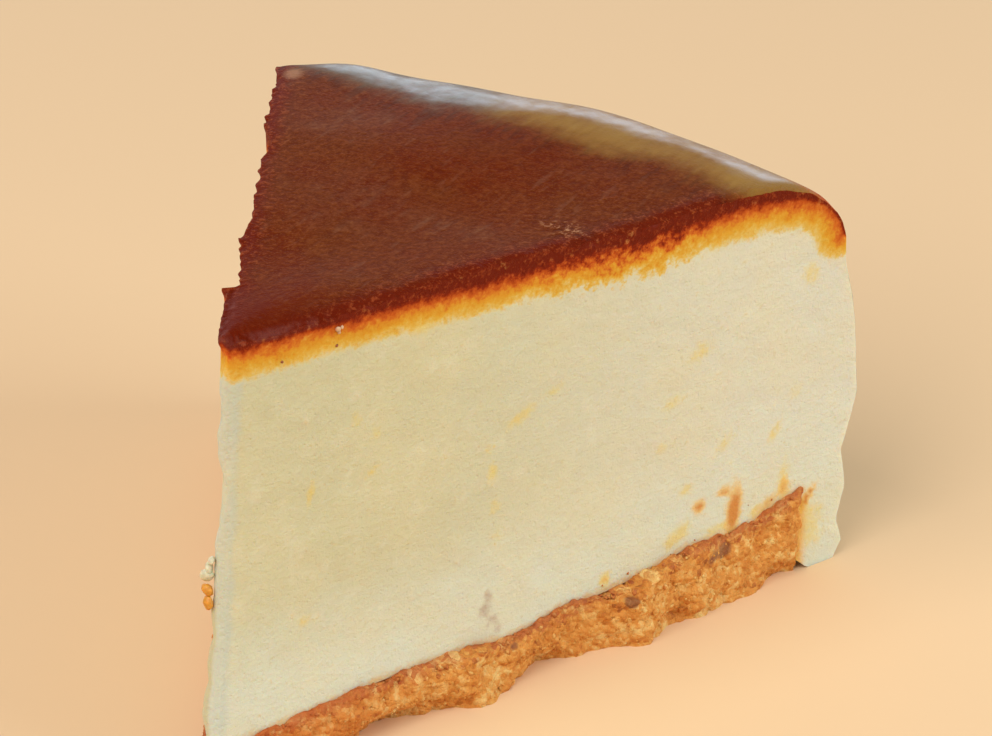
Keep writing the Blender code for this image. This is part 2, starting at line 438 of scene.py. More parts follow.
def side_stands_out(angle, height):
    """How far the side leaves the cake's circle: a profile over height that drifts round the rim."""
    drift = SIDE_DRIFT * np.clip(angle + HALF_ANGLE, 0, 1) * lumps(CAKE_RADIUS * angle, 0, 0, 12, 3)
    profile = np.interp(height + drift, SIDE_HEIGHTS, SIDE_STANDS_OUT)
    below = 1 - ease(height, SIDE_HEIGHTS[-1] - SIDE_EVENS_OUT, SIDE_HEIGHTS[-1])
    return profile + below * SIDE_SWELL * lumps(CAKE_RADIUS * angle, 0, height, 8, 4)


print("base radius, mm:", round(float(BASE_RADIUS), 2))

# %% [markdown]
# ## Relief of the cuts
# A knife leaves the filling almost smooth, with slow swells, but it tears the baked skin along the
# top into crags. Each cut face is moved squarely out by these amounts, in millimetres. The larger
# swells are those of the solids, and the finer ones are added here. The far cut, seen only as an
# outline, has its own places where the skin's edge is torn off or stands out.

# %% Relief of the filling
SIDE_SHIFT = 1000.0
CUT_SWELLS = ((0.3, 14, 6),)
FAINT_RIPPLES = ((0.1, 3.1, 9), (0.05, 1.3, 10))
TORN_DEPTH = 4.5
TORN_SWELLS = ((0.3, 3.4, 5), (0.4, 1.45, 12))
NEAR_TORN = 0.55
FAR_TORN = 0.9
FAR_CUT_AT = np.array([0, 16, 18.5, 88, 98])
FAR_CUT_STANDS_OUT = np.array([0, 0, -0.5, -0.5, 0.2])
FAR_EDGE = np.array(
    [
        (0, 0.3), (16.6, 0.3), (17.3, 1.1), (17.9, -1.0), (21, -0.6), (27, 0.1), (32, 0.5), (37, -0.1),
        (56, -0.3), (61, -1.0), (64, -0.6), (68, 0.5), (74, 0.0), (84, 0.3), (92, 0.4), (102, 0.1),
    ]
)
FAR_EDGE_DEPTH = 20.0
BEAD_DEPTH = 1.8


def cream_relief(along, height, side):
    """Slow swells and faint ripples, plus torn swells and crags that fade out TORN_DEPTH under the skin.

    The far cut also has its torn places and small beads along the skin, fewer of them near the tip.
    """
    depth = top_height(along, side * HALF_ANGLE) - height
    skin = 1 - ease(depth, 0, TORN_DEPTH)
    shift = SIDE_SHIFT * side
    uneven = 0.7 + 0.6 * lumps(along, shift, 0, 9.7, 13)
    torn = swells(along, shift, height, TORN_SWELLS)
    crags = 0.5 * (pebbles(along, shift, height, 1.1, 2)[0] - 0.4)
    strength = np.where(side > 0, FAR_TORN, NEAR_TORN) * uneven
    torn_off = np.interp(along, *FAR_EDGE.T) * (1 - ease(depth, 1, FAR_EDGE_DEPTH))
    beads = 0.45 * pebbles(along, shift, 0, 1.5, 15)[0] + 0.35 * lumps(along, shift, 0, 1.2, 14) - 0.1
    beads = beads * (1 - ease(depth, 0.4, BEAD_DEPTH)) * (0.25 + 0.75 * ease(along, 10, 22))
    far = (torn_off + beads + np.interp(along, FAR_CUT_AT, FAR_CUT_STANDS_OUT)) * (side > 0)
    faint = swells(along, shift, height, FAINT_RIPPLES)
    slow = swells(along, shift, height, CUT_SWELLS)
    return slow + faint + skin * strength * (torn + crags) + far


print("the far edge stands out from", FAR_EDGE[:, 1].min(), "to", FAR_EDGE[:, 1].max(), "mm")

# %% [markdown]
# ## Relief of the crumb base
# Pressed crumb breaks instead of cutting clean: grains stand proud of the cut and others are gone
# from its foot. Swells give the coarse form, pebbles of two sizes give the grains, and two short
# tables place the heaps and the worn places: distance from the tip, half width and how far.

# %% Relief of the crumb base
CRUMB_PROUD = 0.6
CRUMB_SWELLS = ((0.9, 5.2, 7),)
CRUMB_GRAINS = ((1.1, 2.3, 3, 0.55), (0.5, 1.1, 4, 0.5))
PROUD_PLACES = ((39, 4, 1.9), (67, 5, 1.7), (77, 4, 0.8))
WORN_PLACES = ((27, 6, 3.0), (52, 4, 2.4), (93, 4, 2.2))
WORN_HEIGHT = 4.0
FAR_DRIFT = 8


def crumb_relief(along, height, side):
    """Swells, plus pebbles counted from a middle value, plus bell-shaped heaps, less those at the foot.

    A row of CRUMB_GRAINS is (height, size, layer, middle value).
    """
    shift = SIDE_SHIFT * side
    relief = CRUMB_PROUD + swells(along, shift, height, CRUMB_SWELLS)
    for rise, size, layer, middle in CRUMB_GRAINS:
        relief = relief + rise * (pebbles(along, shift, height, size, layer)[0] - middle)
    foot = 1 - ease(height, 0, WORN_HEIGHT)
    drift = np.where(side < 0, 0, FAR_DRIFT)
    for middle, width, stands_out in PROUD_PLACES:
        relief = relief + stands_out * np.exp(-(((along - middle + drift) / width) ** 2))
    for middle, width, worn in WORN_PLACES:
        relief = relief - worn * foot * np.exp(-(((along - middle + drift) / width) ** 2))
    return relief


print("crumb relief at 39 mm:", round(float(crumb_relief(39.0, 3.0, -1)), 2))

# %% [markdown]
# ## From the slice to the model
# Two last steps turn a place on the slice into a point of the model. The relief moves a place out
# from its cut, shared out over the width so that the inside follows. Then the wedge is laid into the
# model, where the foot of the tip leans out and the tip's far edge is ragged from the knife.

# %% Points in the model
TIP_PLACE = np.array([-51.2507, -0.1118, 0.0])
TIP_LEAN = 3.9
TIP_LEAN_HEIGHT = 46.0
TIP_LEAN_REACH = 30.0
NARROW = 3.0
LEAST_RELIEF = 0.2
DEEPEST = 0.4


def at(along, angle, height):
    """Points in the model for places on the slice: the foot of the tip leans out."""
    lean = TIP_LEAN * (1 - ease(height, 0, TIP_LEAN_HEIGHT)) * (1 - ease(along, 0, TIP_LEAN_REACH))
    point = np.stack([along * np.cos(angle) - lean, along * np.sin(angle), height], axis=-1)
    return point + TIP_PLACE


def moved_out(along, share, relief):
    """Distance and angle of places that a cut's relief moves at a right angle to it.

    The share is -1 on the near cut, 1 on the far one and 0 on the middle line, which doesn't move.
    The relief fades where the wedge is narrow, and never digs past DEEPEST of its half width.
    """
    half_width = along * math.sin(HALF_ANGLE)
    relief = np.maximum(relief * np.clip(half_width / NARROW, LEAST_RELIEF, 1), -DEEPEST * half_width)
    moved = relief * share
    return np.hypot(along, moved), share * HALF_ANGLE + np.arctan2(moved, along)


print("the middle of the rim:", np.round(at(CAKE_RADIUS, 0.0, 0.0), 2), "mm")

# %% The worn tip
TIP_EDGE = np.array(
    [
        (9, 0.4), (12, 1.1), (14.3, 1.05), (16.5, 0.5), (19, 0.95), (23, 0.3), (24.5, 0.7), (25.8, 0.9),
        (27.5, 0.65), (35, 0.85), (37.5, 0.35), (44, -0.15), (47, 0.6), (50, 0.8), (52, 0.1), (57, 0.45),
        (61, -0.4), (62.5, 0.5),
    ]
)
TIP_ROUND = 0.6


def worn_tip(along, share, height):
    """How far points near the tip move: its far edge out by a table over height, its corners inwards."""
    ragged = np.interp(height, *TIP_EDGE.T) + 0.12 * lumps(0, 0, height, 1.1, 17)
    sideways = ragged * (1 - ease(along, BLUNT_TIP, 5)) * (share + 1) / 2
    inwards = TIP_ROUND * share**2 * (1 - ease(along, BLUNT_TIP, 4))
    return np.stack([inwards, sideways, 0 * height], axis=-1)


print("the tip's edge has", len(TIP_EDGE), "places over its height")

# %% [markdown]
# ## One closed shell for a layer
# Each layer is a block of grid cells bent into a wedge, and the filling's block has a step cut out
# for the base. So one function makes the shell of any set of filled cells: a face lies wherever a
# filled cell meets an empty one, and faces share the corners of the grid, so the shell is closed.

# %% The shell of a block
def shell(filled):
    """Grid places (3 rows) and four-cornered faces round the filled cells, all facing out."""
    strides = np.array([(filled.shape[1] + 1) * (filled.shape[2] + 1), filled.shape[2] + 1, 1])
    padded = np.pad(filled, 1).astype(np.int8)
    quads = []
    for axis in range(3):
        b, c = (axis + 1) % 3, (axis + 2) % 3
        inner = [slice(None) if side == axis else slice(1, -1) for side in range(3)]
        change = np.diff(padded, axis=axis)[tuple(inner)]
        for way in (1, -1):
            number = np.argwhere(change == way) @ strides
            ring = [number, number + strides[b], number + strides[b] + strides[c], number + strides[c]]
            quads.append(np.stack(ring[::-way], axis=-1))
    numbers, faces = np.unique(np.concatenate(quads), return_inverse=True)
    places = np.stack([numbers // strides[0], numbers % strides[0] // strides[1], numbers % strides[1]])
    return places, faces.reshape(-1, 4)


print("faces round one cell:", len(shell(np.ones((1, 1, 1), dtype=bool))[1]))

# %% A piece from points and faces
def new_piece(name, points, faces, marks, finish, smooth_below=180):
    """A mesh object from points in millimetres and faces of one size, with a value per point per mark."""
    mesh = bpy.data.meshes.new(name)
    sides = faces.shape[1]
    mesh.vertices.add(len(points))
    mesh.vertices.foreach_set("co", (points * MM).astype(np.float32).ravel())
    mesh.loops.add(faces.size)
    mesh.loops.foreach_set("vertex_index", faces.astype(np.int32).ravel())
    mesh.polygons.add(len(faces))
    mesh.polygons.foreach_set("loop_start", np.arange(0, faces.size, sides, dtype=np.int32))
    mesh.update(calc_edges=True)
    mesh.shade_smooth()
    if smooth_below < 180:
        mesh.set_sharp_from_angle(angle=math.radians(smooth_below))
    for mark, values in marks.items():
        layer = mesh.attributes.new(mark, "FLOAT", "POINT")
        layer.data.foreach_set("value", np.asarray(values, dtype=np.float32))
    mesh.validate()
    mesh.materials.append(finish)
    obj = bpy.data.objects.new(name, mesh)
    bpy.context.scene.collection.objects.link(obj)
    print(name, len(points), "points", len(faces) * (sides - 2), "triangles")
    return obj


print("pieces are made in units of", MM, "metres")

# %% [markdown]
# ## How deep the browning goes
# In the oven the top turns dark brown, and under it the filling fades through orange and yellow to
# cream. The fade follows the skin, also down over the shoulder. So each point gets a number `bake`: 0
# on the skin, 1 where the brown ends and 2 where the yellow ends. It comes from the distance to the
# skin's profile, divided by how deep each band goes at that distance from the middle.

# %% Browning
SKIN_FOOT = 50.0
BAND_AT = np.array([0, 14, 28, 34, 40, 46, 52, 59, 66, 72, 77, 90, 98, 102])
BROWN_DEPTH = np.array([1.5, 1.35, 1.95, 2.7, 3.3, 3.2, 3.0, 3.1, 3.2, 3.0, 2.6, 1.9, 0.8, 0.3])
YELLOW_DEPTH = np.array([4.8, 4.5, 5.1, 5.7, 6.1, 6.2, 6.3, 6.5, 6.9, 6.8, 6.1, 5.2, 3.9, 3.0])


def skin_profile():
    """The skin from tip to rim as points (distance, height): the plain top, then down to its foot."""
    along = np.concatenate([np.linspace(-2, 86, 120), on_shoulder(np.linspace(0.45, math.pi / 2, 60))])
    heights = plain_top(along)
    kept = heights > SKIN_FOOT
    return along[kept], heights[kept]


def browning(along, height, angle):
    """The bake number of points, from their distance to the nearest point of the skin's profile."""
    skin_along, skin_height = skin_profile()
    height = height + plain_top(along) - top_height(along, angle)
    depth = np.full(len(along), 99.0)
    for skin_x, skin_z in zip(skin_along, skin_height):
        depth = np.minimum(depth, np.hypot(along - skin_x, height - skin_z))
    brown = np.interp(along, BAND_AT, BROWN_DEPTH)
    yellow = np.interp(along, BAND_AT, YELLOW_DEPTH)
    return np.where(depth < brown, depth / brown, 1 + (depth - brown) / (yellow - brown))


print("skin profile points:", len(skin_profile()[0]))

# %% [markdown]
# ## Marks on the cut
# The cut isn't one colour. Soft yellow flecks lie in the cream, the knife has dragged a few brown
# smears up from the base, and there is one bruised spot. Each is an oval at a place on the cut,
# given as distance from the tip, height, half length, half height, tilt and strength. The far cut,
# which is seen less, gets the same ovals in mirrored order.

# %% Ovals on the cut
YOLK_FLECKS = (
    (76.7, 39.6, 2.2, 1.4, 20, 0.7),
    (46.9, 39.5, 2.6, 0.8, 28, 0.8),
    (13.7, 38.5, 0.5, 1.7, -10, 0.9),
    (23.1, 38.9, 1.3, 0.4, 35, 0.9),
    (23.9, 44.2, 0.9, 0.9, 0, 0.6),
    (42.3, 32.8, 0.8, 1.1, 0, 0.9),
    (41.7, 36.2, 1.0, 0.8, 0, 0.4),
    (42.7, 27.4, 0.9, 1.0, 0, 0.6),
    (43.3, 23.2, 1.2, 1.0, 0, 0.4),
    (90.4, 23.4, 1.6, 0.7, 50, 0.9),
    (82.0, 24.8, 2.0, 1.0, 40, 0.55),
    (70.8, 27.0, 1.6, 0.9, 0, 0.5),
    (95.6, 45.6, 1.3, 1.8, 10, 0.7),
    (94.1, 28.5, 1.5, 1.0, 20, 0.5),
    (72.0, 33.6, 1.8, 0.9, 20, 0.6),
    (52.2, 41.5, 1.6, 0.8, 20, 0.6),
    (30.4, 56.7, 1.6, 1.0, 0, 0.6),
    (20.5, 47.0, 1.0, 1.1, 0, 0.5),
    (13.7, 21.1, 0.9, 0.9, 0, 0.6),
    (75.2, 19.4, 1.1, 0.8, 0, 0.8),
    (74.4, 12.8, 2.3, 1.3, 30, 0.9),
    (73.0, 11.8, 0.8, 1.0, 0, 0.9),
    (92.6, 15.4, 1.0, 3.2, 0, 0.8),
    (87.8, 12.0, 1.2, 0.9, 0, 0.7),
    (81.2, 11.5, 2.6, 0.7, 10, 0.9),
    (61.8, 10.2, 1.1, 1.1, 0, 1.0),
    (97.2, 9.4, 1.2, 1.0, 40, 0.7),
    (97.6, 6.8, 2.0, 3.4, 0, 0.75),
)
BROWN_SMEARS = (
    (83.9, 13.4, 1.0, 3.2, -4, 1.2),
    (82.0, 17.0, 1.0, 0.6, 0, 0.8),
    (77.8, 16.1, 1.0, 0.8, 0, 0.9),
    (61.8, 10.0, 0.6, 0.6, 0, 0.5),
    (92.8, 14.2, 0.9, 1.5, 0, 0.6),
    (96.5, 10.9, 0.5, 1.5, -30, 1.2),
    (97.4, 12.2, 0.35, 0.9, -35, 0.9),
    (90.0, 12.6, 2.0, 0.9, 30, 0.6),
)
BRUISES = (
    (41.6, 12.3, 1.0, 1.1, -20, 1.0),
    (42.9, 10.6, 1.1, 0.9, 30, 0.8),
    (42.2, 14.2, 0.7, 1.2, 0, 0.7),
    (44.0, 9.0, 0.6, 0.9, 0, 0.8),
)
FAR_CUT_LENGTH = 99.0
OVAL_EDGE = 0.7


def ovals(along, height, side, places):
    """The strongest of several soft ovals: e to the minus squared distance, measured in half sizes.

    The far cut's tip stays clean.
    """
    clean_tip = np.where(side < 0, 1, ease(along, 8, 14))
    along = np.where(side < 0, along, FAR_CUT_LENGTH - along)
    total = np.zeros(len(along))
    for middle, rise, half_long, half_high, tilt, strength in places:
        c, s = math.cos(math.radians(tilt)), math.sin(math.radians(tilt))
        u = (c * (along - middle) + s * (height - rise)) / half_long
        v = (c * (height - rise) - s * (along - middle)) / half_high
        total = np.maximum(total, strength * np.exp(-OVAL_EDGE * (u**2 + v**2)))
    return total * clean_tip


print(len(YOLK_FLECKS), "flecks,", len(BROWN_SMEARS), "smears,", len(BRUISES), "bruises")

# %% [markdown]
# ## Marks on the top
# The skin has spots of painted sheen, one far corner with a painted highlight, and one rough patch near the
# cut with painted glints and painted shade in its wrinkles. Towards the rim come a dull gold tone, which is
# painted reflection, and then a pale band, a painted highlight under a glossy coat. A table says how far
# out each of the two begins, for several angles round the slice, in degrees.

# %% Spots and bands on the top
PAINTED_SHEEN_SPOTS = (
    (79.1, 16.4, 5.0, 4.0), (79.4, 9.4, 5.0, 4.5), (74.0, 14.5, 3.5, 6.0), (67.0, 19.5, 2.2, 4.0),
    (50.0, 8.0, 4.0, 5.0), (46.0, -4.2, 3.0, 6.5), (40.0, 8.0, 2.5, 5.0), (47.0, -14.0, 2.5, 5.0),
)
CORNER_HIGHLIGHT_SPOT = ((86.8, 23.6, 2.4, 1.2),)
ROUGH_GLINT_PATCH = ((56.4, -21.3, 1.5, 3.4),)
BAND_TURNS = np.array([-25, -20.7, -15.4, -11, -6.4, -2.2, 1.7, 5.3, 9, 14, 18.3, 22, 25])
WHITE_FROM = np.array([90.4, 88.2, 88.6, 87.5, 87.2, 86.0, 83.2, 81.2, 79.8, 84, 88.2, 92, 96])
GOLD_REFLECTION_FROM = np.array([82.6, 81.5, 81.0, 78.5, 77.8, 77.8, 77.0, 78.5, 77.5, 81, 86, 90, 95])


def spots_on_top(along, angle, spots):
    """Soft round spots: distance from the tip, degrees round, and half sizes along and across, in mm."""
    total = np.zeros(len(along))
    for middle, turn, half_along, half_across in spots:
        u = (along * np.cos(angle - math.radians(turn)) - middle) / half_along
        v = along * np.sin(angle - math.radians(turn)) / half_across
        total = np.maximum(total, np.exp(-OVAL_EDGE * (u**2 + v**2)))
    return total


print("the glazed band begins at", WHITE_FROM.min(), "to", WHITE_FROM.max(), "mm")

# %% [markdown]
# ## The filling's finish
# Baked filling is dense, moist and slightly translucent, so light goes a little way into it. The
# marks of the mesh choose the colour: `bake` runs the fade under the skin, `outer` tells the skin
# from the cut, and the ovals lay flecks over the cream. Noise makes each border ragged, because a
# border that only follows the mesh looks painted. The skin is browner, smoother and glossier.

# %% Filling finish
filling_finish, wire, filling_shader = new_finish(
    "baked_filling",
    {
        "Subsurface Weight": 0.35,
        "Subsurface Radius": (1.0, 0.55, 0.22),
        "Subsurface Scale": 0.0022,
        "Specular IOR Level": 0.01,
        "Coat Roughness": 0.25,
        "Coat IOR": 1.6,
    },
)
bake, outer = wire.mark("bake"), wire.mark("outer")
along, edge = wire.mark("along"), wire.mark("edge")
past_gold, past_white = wire.mark("past_gold"), wire.mark("past_white")
turn, rise = wire.mark("turn"), wire.rise()
cut = 1 - outer

slow = wire.noise(14, 2)
middle_size = wire.noise(3.2, 3, 0.6)
fine = wire.noise(0.9, 3, 0.65)
finest = wire.noise(0.35, 2, 0.6)
print("noises for the filling: 14, 3.2, 0.9 and 0.35 mm")

# %% [markdown]
# ## Colour of the cream
# Cream isn't one tone: it is yellower high up and near the tip, greyer low down, and cloudy all over.
# At the tip, a bluish grey tone along the rounded edge is a painted highlight, and a tan tone low on its
# far side is painted shade. Each coat is one such change.

# %% Colour of the cream
low = (rise + (slow - 0.5) * 8).between(30, 10) * (1 - 0.2 * along.between(50, 90))
# Painted highlight: a bluish grey tone along the rounded tip stands in for light on its edge.
tip_painted_highlight = (along + (slow - 0.5) * 4 + (middle_size - 0.5) * 2).between(3.6, 1.8) * 0.5
# Painted shade: a tan tone low on the tip's far side stands in for the shade there.
tip_painted_shade = turn.between(-4, 10) * along.between(4, 2.4) * rise.between(30, 25) * 0.6
cream_tones = painted(
    along.between(20, 95).blend(tone(203, 195, 157), tone(214, 208, 185)),
    (low, tone(214, 214, 191)),
    (slow.between(0.4, 0.65) * 0.25, tone(222, 207, 163)),
    (fine.between(0.58, 0.75) * 0.35, tone(196, 184, 140)),
    (middle_size.between(0.5, 0.75) * 0.3, tone(224, 216, 188)),
    (tip_painted_highlight, tone(190, 196, 184)),
    (tip_painted_shade, tone(190, 176, 124)),
)
print("cream coats: low, cloudy, grainy, light, tip light, tip dark")

# %% [markdown]
# ## Colour of the browned edge
# Under the skin a ramp runs over `bake` from dark brown through orange and yellow to cream. Noise at
# three sizes moves the borders, most in the middle of the cut, where the real edge is blotchy.

# %% Colour of the browned edge
blotchy = 0.6 + 1.1 * along.between(40, 56) * along.between(80, 70)
stray = ((middle_size - 0.5) + (fine - 0.5) * 0.7) * blotchy + (finest - 0.5) * 0.25
ragged = bake + cut * stray * bake.between(0.1, 1.0) * bake.between(7, 4)
fade = ((ragged + (fine - 0.5) * 0.5) / 2.5).ramp(
    [
        (0.00, tone(108, 34, 16)),
        (0.26, tone(114, 33, 14)),
        (0.35, tone(142, 46, 17)),
        (0.42, tone(182, 78, 27)),
        (0.48, tone(198, 98, 34)),
        (0.54, tone(206, 118, 38)),
        (0.61, tone(211, 143, 42)),
        (0.70, tone(214, 158, 52)),
        (0.80, tone(216, 174, 82)),
        (0.89, tone(217, 191, 122)),
        (0.97, tone(217, 202, 153)),
    ]
)
mottled = (fine + (finest - 0.5) * 0.6).between(0.5, 0.68) * ragged.between(1.0, 0.8) * 0.4
edge_colour = painted(fade, (mottled, tone(172, 78, 36)), (ragged.between(2.05, 2.45), cream_tones))
print("browned edge: a ramp of 11 tones")

# %% Colour of the marks on the cut
uneven = (fine - 0.5) * 0.9 + (middle_size - 0.5) * 0.6
yolk = (wire.mark("yolk") + uneven).between(0.12, 0.9)
smear = wire.mark("smear") + uneven * 0.6
bruise = (wire.mark("bruise") + uneven).between(0.2, 0.9)
# Painted reflection: on the cream next to the base, a warm yellow tint stands in for warm light reflected
# from below.
soaking_and_painted_reflection = (wire.mark("from_base") + uneven * 2).between(1.3, 0.1)
# Painted reflection: a warm orange glow low on the cream at the base's outer end, where warm light is
# reflected.
painted_warm_glow = (along + uneven).between(97.6, 96.0) * along.between(94.5, 95.4) * rise.between(12, 9)
# Painted sheen: near the tip, a mauve tone on the brown band stands in for a greyish sheen of light. The
# skin's edge gets it too.
mauve_painted_sheen = along.between(20, 10) * (middle_size + (fine - 0.5) * 0.6).between(0.4, 0.7) * 0.3
cut_colour = painted(
    edge_colour,
    (yolk * 0.75, tone(224, 197, 112)),
    (smear.between(0.05, 0.5) * 0.75, tone(228, 182, 98)),
    (smear.between(0.35, 0.95) * 0.8, tone(200, 118, 44)),
    (bruise * 0.6, tone(172, 140, 122)),
    (soaking_and_painted_reflection * 0.6, tone(226, 168, 84)),
    (painted_warm_glow * 0.8, tone(230, 166, 66)),
    (mauve_painted_sheen * ragged.between(0.95, 0.5), tone(134, 84, 76)),
)
print("marks on the cut: yolk, smear, bruise, soaked, glow, mauve")

# %% [markdown]
# ## Colour of the skin
# The baked skin is dark brown leather: redder at the tip and along its edges, grained in lighter
# tones, and drawn out in faint streaks. Painted light lies on it too: spots of painted sheen, painted
# glints along the cut edges and a mauve painted sheen near the tip. Towards the rim come the gold, a
# painted reflection, and the pale band, a painted highlight.

# %% Colour of the skin
streaks = wire.streaks(6, 1.1, -64)
grain = fine.between(0.5, 0.68) * 0.25 + finest.between(0.5, 0.72) * 0.3
leather = grain * (0.7 + 0.8 * edge.between(34, 3))
# Painted sheen: pale greyish spots on the skin stand in for a sheen of reflected light.
haze = wire.mark("haze") * (streaks + (fine - 0.5) * 0.6).between(0.2, 0.9)
dark_edge = (edge + (middle_size - 0.5) * 3).between(3.2, 0.4)
# Painted glints: light specks along the cut edges stand in for tiny highlights.
edge_painted_glints = edge.between(4.5, 0.5) * (fine + (finest - 0.5) * 0.6).between(0.52, 0.68)
plain_skin = painted(
    slow.between(0.35, 0.65).blend(tone(101, 34, 9), tone(102, 44, 16)),
    (middle_size.between(0.35, 0.7) * 0.4, tone(114, 54, 24)),
    (fine.between(0.55, 0.35) * 0.5, tone(78, 26, 10)),
    (leather, tone(130, 71, 32)),
    (streaks.between(0.58, 0.75) * 0.25, tone(130, 86, 60)),
    (haze * 0.25, tone(122, 90, 66)),
    (dark_edge * 0.85, tone(104, 28, 11)),
    (edge_painted_glints * 0.45, tone(176, 84, 44)),
    (along.between(26, 6) * 0.8, tone(98, 23, 4)),
    # painted sheen along the skin's edge near the tip
    (mauve_painted_sheen * edge.between(1.4, 0.4), tone(134, 84, 76)),
)
print("skin coats: leather, streaks, haze, dark edge, sparkle, tip")

# %% Painted gold reflection, pale band with painted highlight, and spots
bands = (middle_size - 0.5) * 5 + (slow - 0.5) * 7 + (streaks - 0.5) * 1.5
streaked = past_gold.between(-9, -3) * past_gold.between(1, -1) * streaks.between(0.5, 0.66)
# Painted reflection: a dull gold to olive tone inside the pale band stands in for a soft reflection of warm
# surroundings.
gold_painted_reflection = (past_gold + bands).between(-4, 5) * (0.35 + 0.8 * slow + 0.5 * (streaks - 0.5))
gold_painted_reflection = gold_painted_reflection * (along + (middle_size - 0.5) * 2).between(98, 94.5)
gold_painted_reflection_tone = turn.between(0, 8).blend(tone(148, 108, 50), tone(106, 98, 80))
# The band's mask gives the coat its real gloss further down. In the colour it lays a pale grey painted
# highlight.
gloss_and_painted_highlight = (past_white + bands * 0.5).between(-2.6, 2.6) * edge.between(1.5, 4)
painted_white_highlight = gloss_and_painted_highlight * (along + middle_size).between(95.6, 93.2)
painted_white_highlight = painted_white_highlight * (0.14 + 0.6 * (middle_size - 0.5) + 0.5 * (slow - 0.5))
corner = along.between(92, 98) * edge.between(8, 1) * turn.between(-12, -20)
# Painted highlight: a pale beige spot at the far rim corner, where the rounded corner catches light.
pale_corner = (wire.mark("pale_corner") + (fine - 0.5) * 0.3).between(0.2, 0.9)
# In the rough patch, dark specks in the wrinkles' hollows are painted shade and light specks on their crests
# are painted glints. Its bump is real relief.
rough_patch = wire.mark("rough_patch")
skin_colour = painted(
    plain_skin,
    (streaked * 0.6, tone(72, 26, 12)),
    (gold_painted_reflection, gold_painted_reflection_tone),
    (painted_white_highlight, tone(150, 144, 148)),
    (corner * 0.9, tone(188, 84, 32)),
    (pale_corner * 0.6, tone(178, 128, 94)),
    (rough_patch * fine.between(0.5, 0.4) * 0.6, tone(64, 24, 12)),
    (rough_patch * fine.between(0.56, 0.66) * 0.9, tone(184, 132, 90)),
)
print("over the skin: streaks, gold, bloom, corner, pale corner, rough patch")

# %% [markdown]
# ## Gloss and relief of the filling
# The cut is matt and finely pored. The skin is a little smoother, and its pale band is mostly a
# reflection of the low lamp, so it is made as a glossy coat over part of the skin, with a painted
# highlight in its colour as well. One bump map adds what is finer than the mesh: pores in the cream,
# crags in the brown edge and grain in the skin.

# %% Gloss and relief of the filling
skin = (outer * bake.between(1.0, 0.3)).clamped()
brown_part = ragged.between(1.3, 0.7)
shoulder = (along + (middle_size - 0.5) * 2).between(92, 95.5)
pores = wire.grains(1.1).between(0.25, 0.0)
cut_bump = 0.18 * fine + 0.08 * finest + 0.1 * middle_size - 0.06 * pores
torn_bump = (0.3 * fine + 0.2 * finest) * brown_part
skin_bump = (0.14 * fine + 0.11 * finest) * (1 - 0.6 * shoulder) + 0.12 * middle_size + 0.1 * streaks
edge_bump = edge.between(4, 0.5) * (0.3 * fine + 0.2 * finest)
height = cut * (cut_bump + torn_bump) + skin * (skin_bump + edge_bump + 0.5 * rough_patch * fine)
patchy = (0.2 + 0.9 * (middle_size - 0.3)).clamped()
plug(
    filling_shader,
    Base_Color=skin.blend(cut_colour, skin_colour),
    Roughness=0.6 - 0.1 * cut * brown_part - skin * 0.1 * shoulder,
    Coat_Weight=skin * gloss_and_painted_highlight * patchy * 0.72 + cut * 0.06,
    Normal=relief_bump(wire, height),
)
print("filling finish nodes:", len(filling_finish.node_tree.nodes))

# %% [markdown]
# ## The filling's surface
# The filling could be the solid with a bump map, but its torn edge and ragged outline would stay
# smooth. So it is made again as one closed shell, with lines half a millimetre apart, finest
# under the skin and along the cuts. The lowest levels, the skirt, exist only beyond the base's outer
# end, so its underside follows the base and steps down round that end.

# %% Grid of the filling
EVEN_CELLS = 200
TURN_CELLS = 28
BASE_LINE = EVEN_CELLS + TURN_CELLS * 2 // 7
ACROSS_CELLS = 76
SKIRT_LEVELS = 16
CREAM_LEVELS = 88
LEVEL_POWER = 1.5

even_lines = np.linspace(BLUNT_TIP, on_shoulder(TURN_FROM), EVEN_CELLS + 1)
turned_lines = on_shoulder(np.linspace(TURN_FROM, math.pi / 2, TURN_CELLS + 1))
cream_lines = np.concatenate([even_lines, turned_lines[1:]])


def across_share(step, steps):
    """From -1 to 1 across the slice, with steps that get small towards both cuts."""
    even = 2 * step / steps - 1
    return 0.2 * even + 0.8 * np.sin(math.pi / 2 * even)


filled = np.ones((len(cream_lines) - 1, ACROSS_CELLS, SKIRT_LEVELS + CREAM_LEVELS), dtype=bool)
filled[:BASE_LINE, :, :SKIRT_LEVELS] = False
(line, across, level), cream_faces = shell(filled)
print("filling grid:", len(line), "corners")

# %% Heights in the filling
EDGE_ROUND = 1.5
EDGE_FALL = 0.45
LOBE_FOOT = 1.8
LOBE_FOOT_RUN = 2.6


def worn_top(along, angle):
    """The top, rounded off within EDGE_ROUND of the cuts, with crags along them."""
    from_cut = along * np.sin(np.maximum(HALF_ANGLE - np.abs(angle), 0))
    crest = np.clip(1 - from_cut / EDGE_ROUND, 0, 1) ** 2
    shift = SIDE_SHIFT * np.sign(angle)
    crags = 0.25 * lumps(along, shift, 0, 1.9, 11) + 0.3 * (pebbles(along, shift, 0, 0.9, 8)[0] - 0.4)
    return top_height(along, angle) + crest * (crags - EDGE_FALL)


def cream_height(along, angle):
    """The height of every grid corner at that place: skirt levels below the seam, the rest above it.

    The skirt's underside, the foot of the lobe, rises towards the base.
    """
    seam = seam_height(along, angle)
    foot = LOBE_FOOT * (1 - ease(along, BASE_RADIUS, BASE_RADIUS + LOBE_FOOT_RUN))
    raised = 1 - (1 - (level - SKIRT_LEVELS) / CREAM_LEVELS) ** LEVEL_POWER
    return np.where(
        level < SKIRT_LEVELS,
        foot + (seam - foot) * level / SKIRT_LEVELS,
        seam + (worn_top(along, angle) - seam) * raised,
    )


print("the top's edge falls by", EDGE_FALL, "mm at the cuts")

